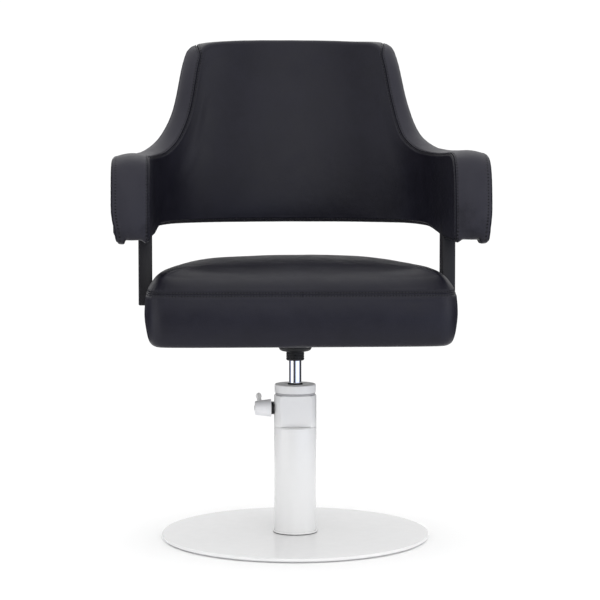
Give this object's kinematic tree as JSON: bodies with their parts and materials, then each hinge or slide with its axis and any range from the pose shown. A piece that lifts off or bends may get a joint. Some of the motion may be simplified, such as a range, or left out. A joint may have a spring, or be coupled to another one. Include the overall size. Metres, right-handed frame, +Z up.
{
  "type": "styling chair",
  "caption": "Salon styling chair: domed box seat, one-piece wraparound upholstered back and arms on side posts, hydraulic lift column with swivel, lock lever, foot pump and round floor plate.",
  "frame": {"origin": "on the swivel axis, on the floor under the centre of the floor plate", "axes": "+Z up along the swivel axis, -Y the way the sitter faces, +X to the viewer's right when the viewer stands in front of the chair"},
  "size_m": [0.64, 0.5666, 0.903],
  "materials": {
    "leather": "satin",
    "foam": "matte",
    "plywood": "matte",
    "dust_cover": "matte",
    "white_paint": "gloss",
    "black_paint": "satin",
    "chrome": "polished",
    "steel": "satin",
    "bronze": "satin",
    "rubber": "matte",
    "black_plastic": "matte"
  },
  "bodies": {
    "base": {"rubber_underlay": "rubber", "base_disc": "white_paint", "disc_bolt_1": "steel", "disc_bolt_2": "steel", "disc_bolt_3": "steel", "disc_bolt_4": "steel", "valve_block": "steel", "foot_gasket": "rubber", "column_foot_ring": "white_paint", "column_tube": "white_paint", "column_head": "white_paint", "head_gasket": "rubber", "column_cap": "white_paint", "rod_wiper": "rubber", "guide_bush": "bronze", "pressure_cylinder": "steel", "lock_washer": "black_plastic", "pump_body": "white_paint", "pedal_bracket": "white_paint", "pedal_pivot_pin": "steel", "plunger_spring": "steel"},
    "lock": {"lock_hub": "white_paint", "lock_arm": "white_paint", "lock_spindle": "steel", "lock_hub_screw": "steel"},
    "brake": {"brake_pad": "bronze"},
    "pedal": {"pedal_lever": "white_paint", "pedal_pad": "rubber"},
    "plunger": {"pump_plunger": "chrome"},
    "piston": {"piston_head": "steel", "piston_seal": "rubber", "thrust_bearing": "steel"},
    "seat": {"seat_socket": "black_paint", "plate_bolt_1": "steel", "plate_bolt_2": "steel", "plate_bolt_3": "steel", "plate_bolt_4": "steel", "seat_top_panel": "leather", "seat_side_band": "leather", "seat_board": "plywood", "seat_foam": "foam", "seat_dust_cover": "dust_cover", "shell_inner_panel": "leather", "shell_outer_panel": "leather", "shell_inner_foam": "foam", "shell_frame": "plywood", "shell_outer_foam": "foam", "arm_band_right": "leather", "arm_band_left": "leather", "shell_bottom_band": "leather", "post_left": "black_paint", "post_right": "black_paint", "post_screw_left_1": "steel", "post_screw_left_2": "steel", "post_screw_right_1": "steel", "post_screw_right_2": "steel", "post_bolt_left": "steel", "post_bolt_right": "steel", "mounting_plate": "black_paint", "piston_rod": "chrome"}
  },
  "joints": [
    {"name": "lift_slide", "type": "slide", "parent": "base", "child": "piston", "axis": [0, 0, 1], "range_m": [-0.04, 0.11]},
    {"name": "seat_swivel", "type": "hinge", "parent": "piston", "child": "seat", "pos_m": [0, 0, 0.099], "axis": [0, 0, 1], "continuous": true},
    {"name": "lock_lever", "type": "hinge", "parent": "base", "child": "lock", "pos_m": [-0.058, 0, 0.232], "axis": [-1, 0, 0], "range_deg": [0, 60]},
    {"name": "brake_slide", "type": "slide", "parent": "base", "child": "brake", "axis": [1, 0, 0], "range_m": [0, 0.0008]},
    {"name": "foot_pedal", "type": "hinge", "parent": "base", "child": "pedal", "pos_m": [0, 0.052, 0.078], "axis": [-1, 0, 0], "range_deg": [0, 22], "stiffness_Nm_per_rad": 8, "springref_deg": -17.19},
    {"name": "plunger_slide", "type": "slide", "parent": "base", "child": "plunger", "axis": [0, 0, -1], "range_m": [0, 0.0125], "deforming": ["plunger_spring"]}
  ],
  "couplings": [
    {"joint": "brake_slide", "follows": "lock_lever", "m_per_rad": 0.00067},
    {"joint": "plunger_slide", "follows": "foot_pedal", "m_per_rad": 0.0318}
  ]
}
